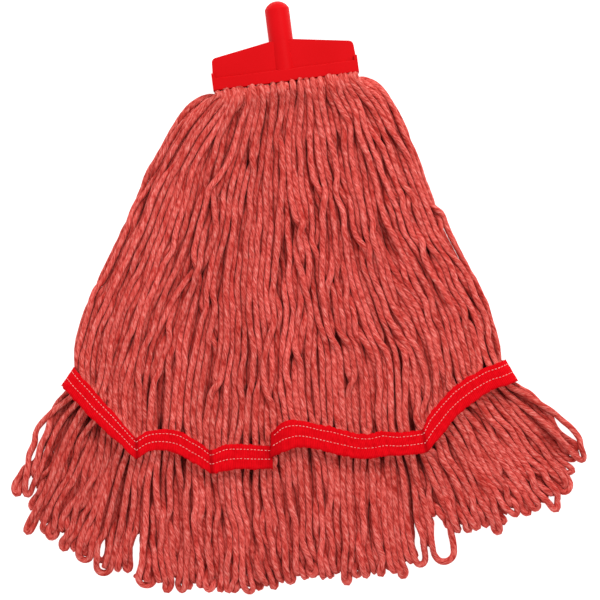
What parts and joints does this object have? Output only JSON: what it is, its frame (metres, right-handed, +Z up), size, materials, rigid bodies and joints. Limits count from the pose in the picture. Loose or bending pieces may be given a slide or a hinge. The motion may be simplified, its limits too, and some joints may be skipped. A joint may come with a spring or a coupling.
{
  "type": "string mop head",
  "caption": "Looped-yarn mop head, gathered in a red plastic spigot fitting and kept flat by a stitched tail band.",
  "frame": {"origin": "the middle of the jaw's rear face, which the mop head rests on", "axes": "+Z up through the front of the head, +Y along the spigot away from the yarn, +X along the jaw"},
  "size_m": [0.4482, 0.467, 0.029],
  "materials": {
    "plastic": "satin moulded",
    "rivet": "satin moulded",
    "yarn": "soft plied, heathered",
    "tape": "woven",
    "thread": "spun"
  },
  "bodies": {
    "skirt": {"tail_tape_inner": "tape", "tail_tape_outer": "tape", "tail_thread_lower": "thread", "tail_thread_upper": "thread", "yarn_front_1": "yarn", "yarn_front_2": "yarn", "yarn_front_3": "yarn", "yarn_front_4": "yarn", "yarn_front_5": "yarn", "yarn_front_6": "yarn", "yarn_front_7": "yarn", "yarn_rear_1": "yarn", "yarn_rear_2": "yarn", "yarn_rear_3": "yarn", "yarn_rear_4": "yarn", "yarn_rear_5": "yarn", "yarn_rear_6": "yarn", "yarn_rear_7": "yarn"},
    "fitting": {"clamp_plate": "plastic", "clamp_rivets": "rivet", "headband_tape": "tape", "headband_thread_lower": "thread", "headband_thread_upper": "thread", "spigot_fitting": "plastic", "yarn_sewn_ends": "yarn"},
    "fringe_left": {"fringe_left_front_1": "yarn", "fringe_left_rear_1": "yarn"},
    "fringe_middle": {"fringe_middle_front_1": "yarn", "fringe_middle_front_2": "yarn", "fringe_middle_front_3": "yarn", "fringe_middle_front_4": "yarn", "fringe_middle_rear_1": "yarn", "fringe_middle_rear_2": "yarn", "fringe_middle_rear_3": "yarn", "fringe_middle_rear_4": "yarn"},
    "fringe_right": {"fringe_right_front_1": "yarn", "fringe_right_front_2": "yarn", "fringe_right_rear_1": "yarn", "fringe_right_rear_2": "yarn"}
  },
  "joints": [
    {"name": "neck_fold", "type": "hinge", "parent": "skirt", "child": "fitting", "pos_m": [0, -0.022, 0.016], "axis": [1, 0, 0], "range_deg": [0, 90]},
    {"name": "fringe_left_fold", "type": "hinge", "parent": "skirt", "child": "fringe_left", "pos_m": [-0.205, -0.316, 0.018], "axis": [-1, 0, 0], "range_deg": [0, 80]},
    {"name": "fringe_middle_fold", "type": "hinge", "parent": "skirt", "child": "fringe_middle", "pos_m": [-0.045, -0.316, 0.018], "axis": [-1, 0, 0], "range_deg": [0, 80]},
    {"name": "fringe_right_fold", "type": "hinge", "parent": "skirt", "child": "fringe_right", "pos_m": [0.135, -0.316, 0.018], "axis": [-1, 0, 0], "range_deg": [0, 80]}
  ]
}
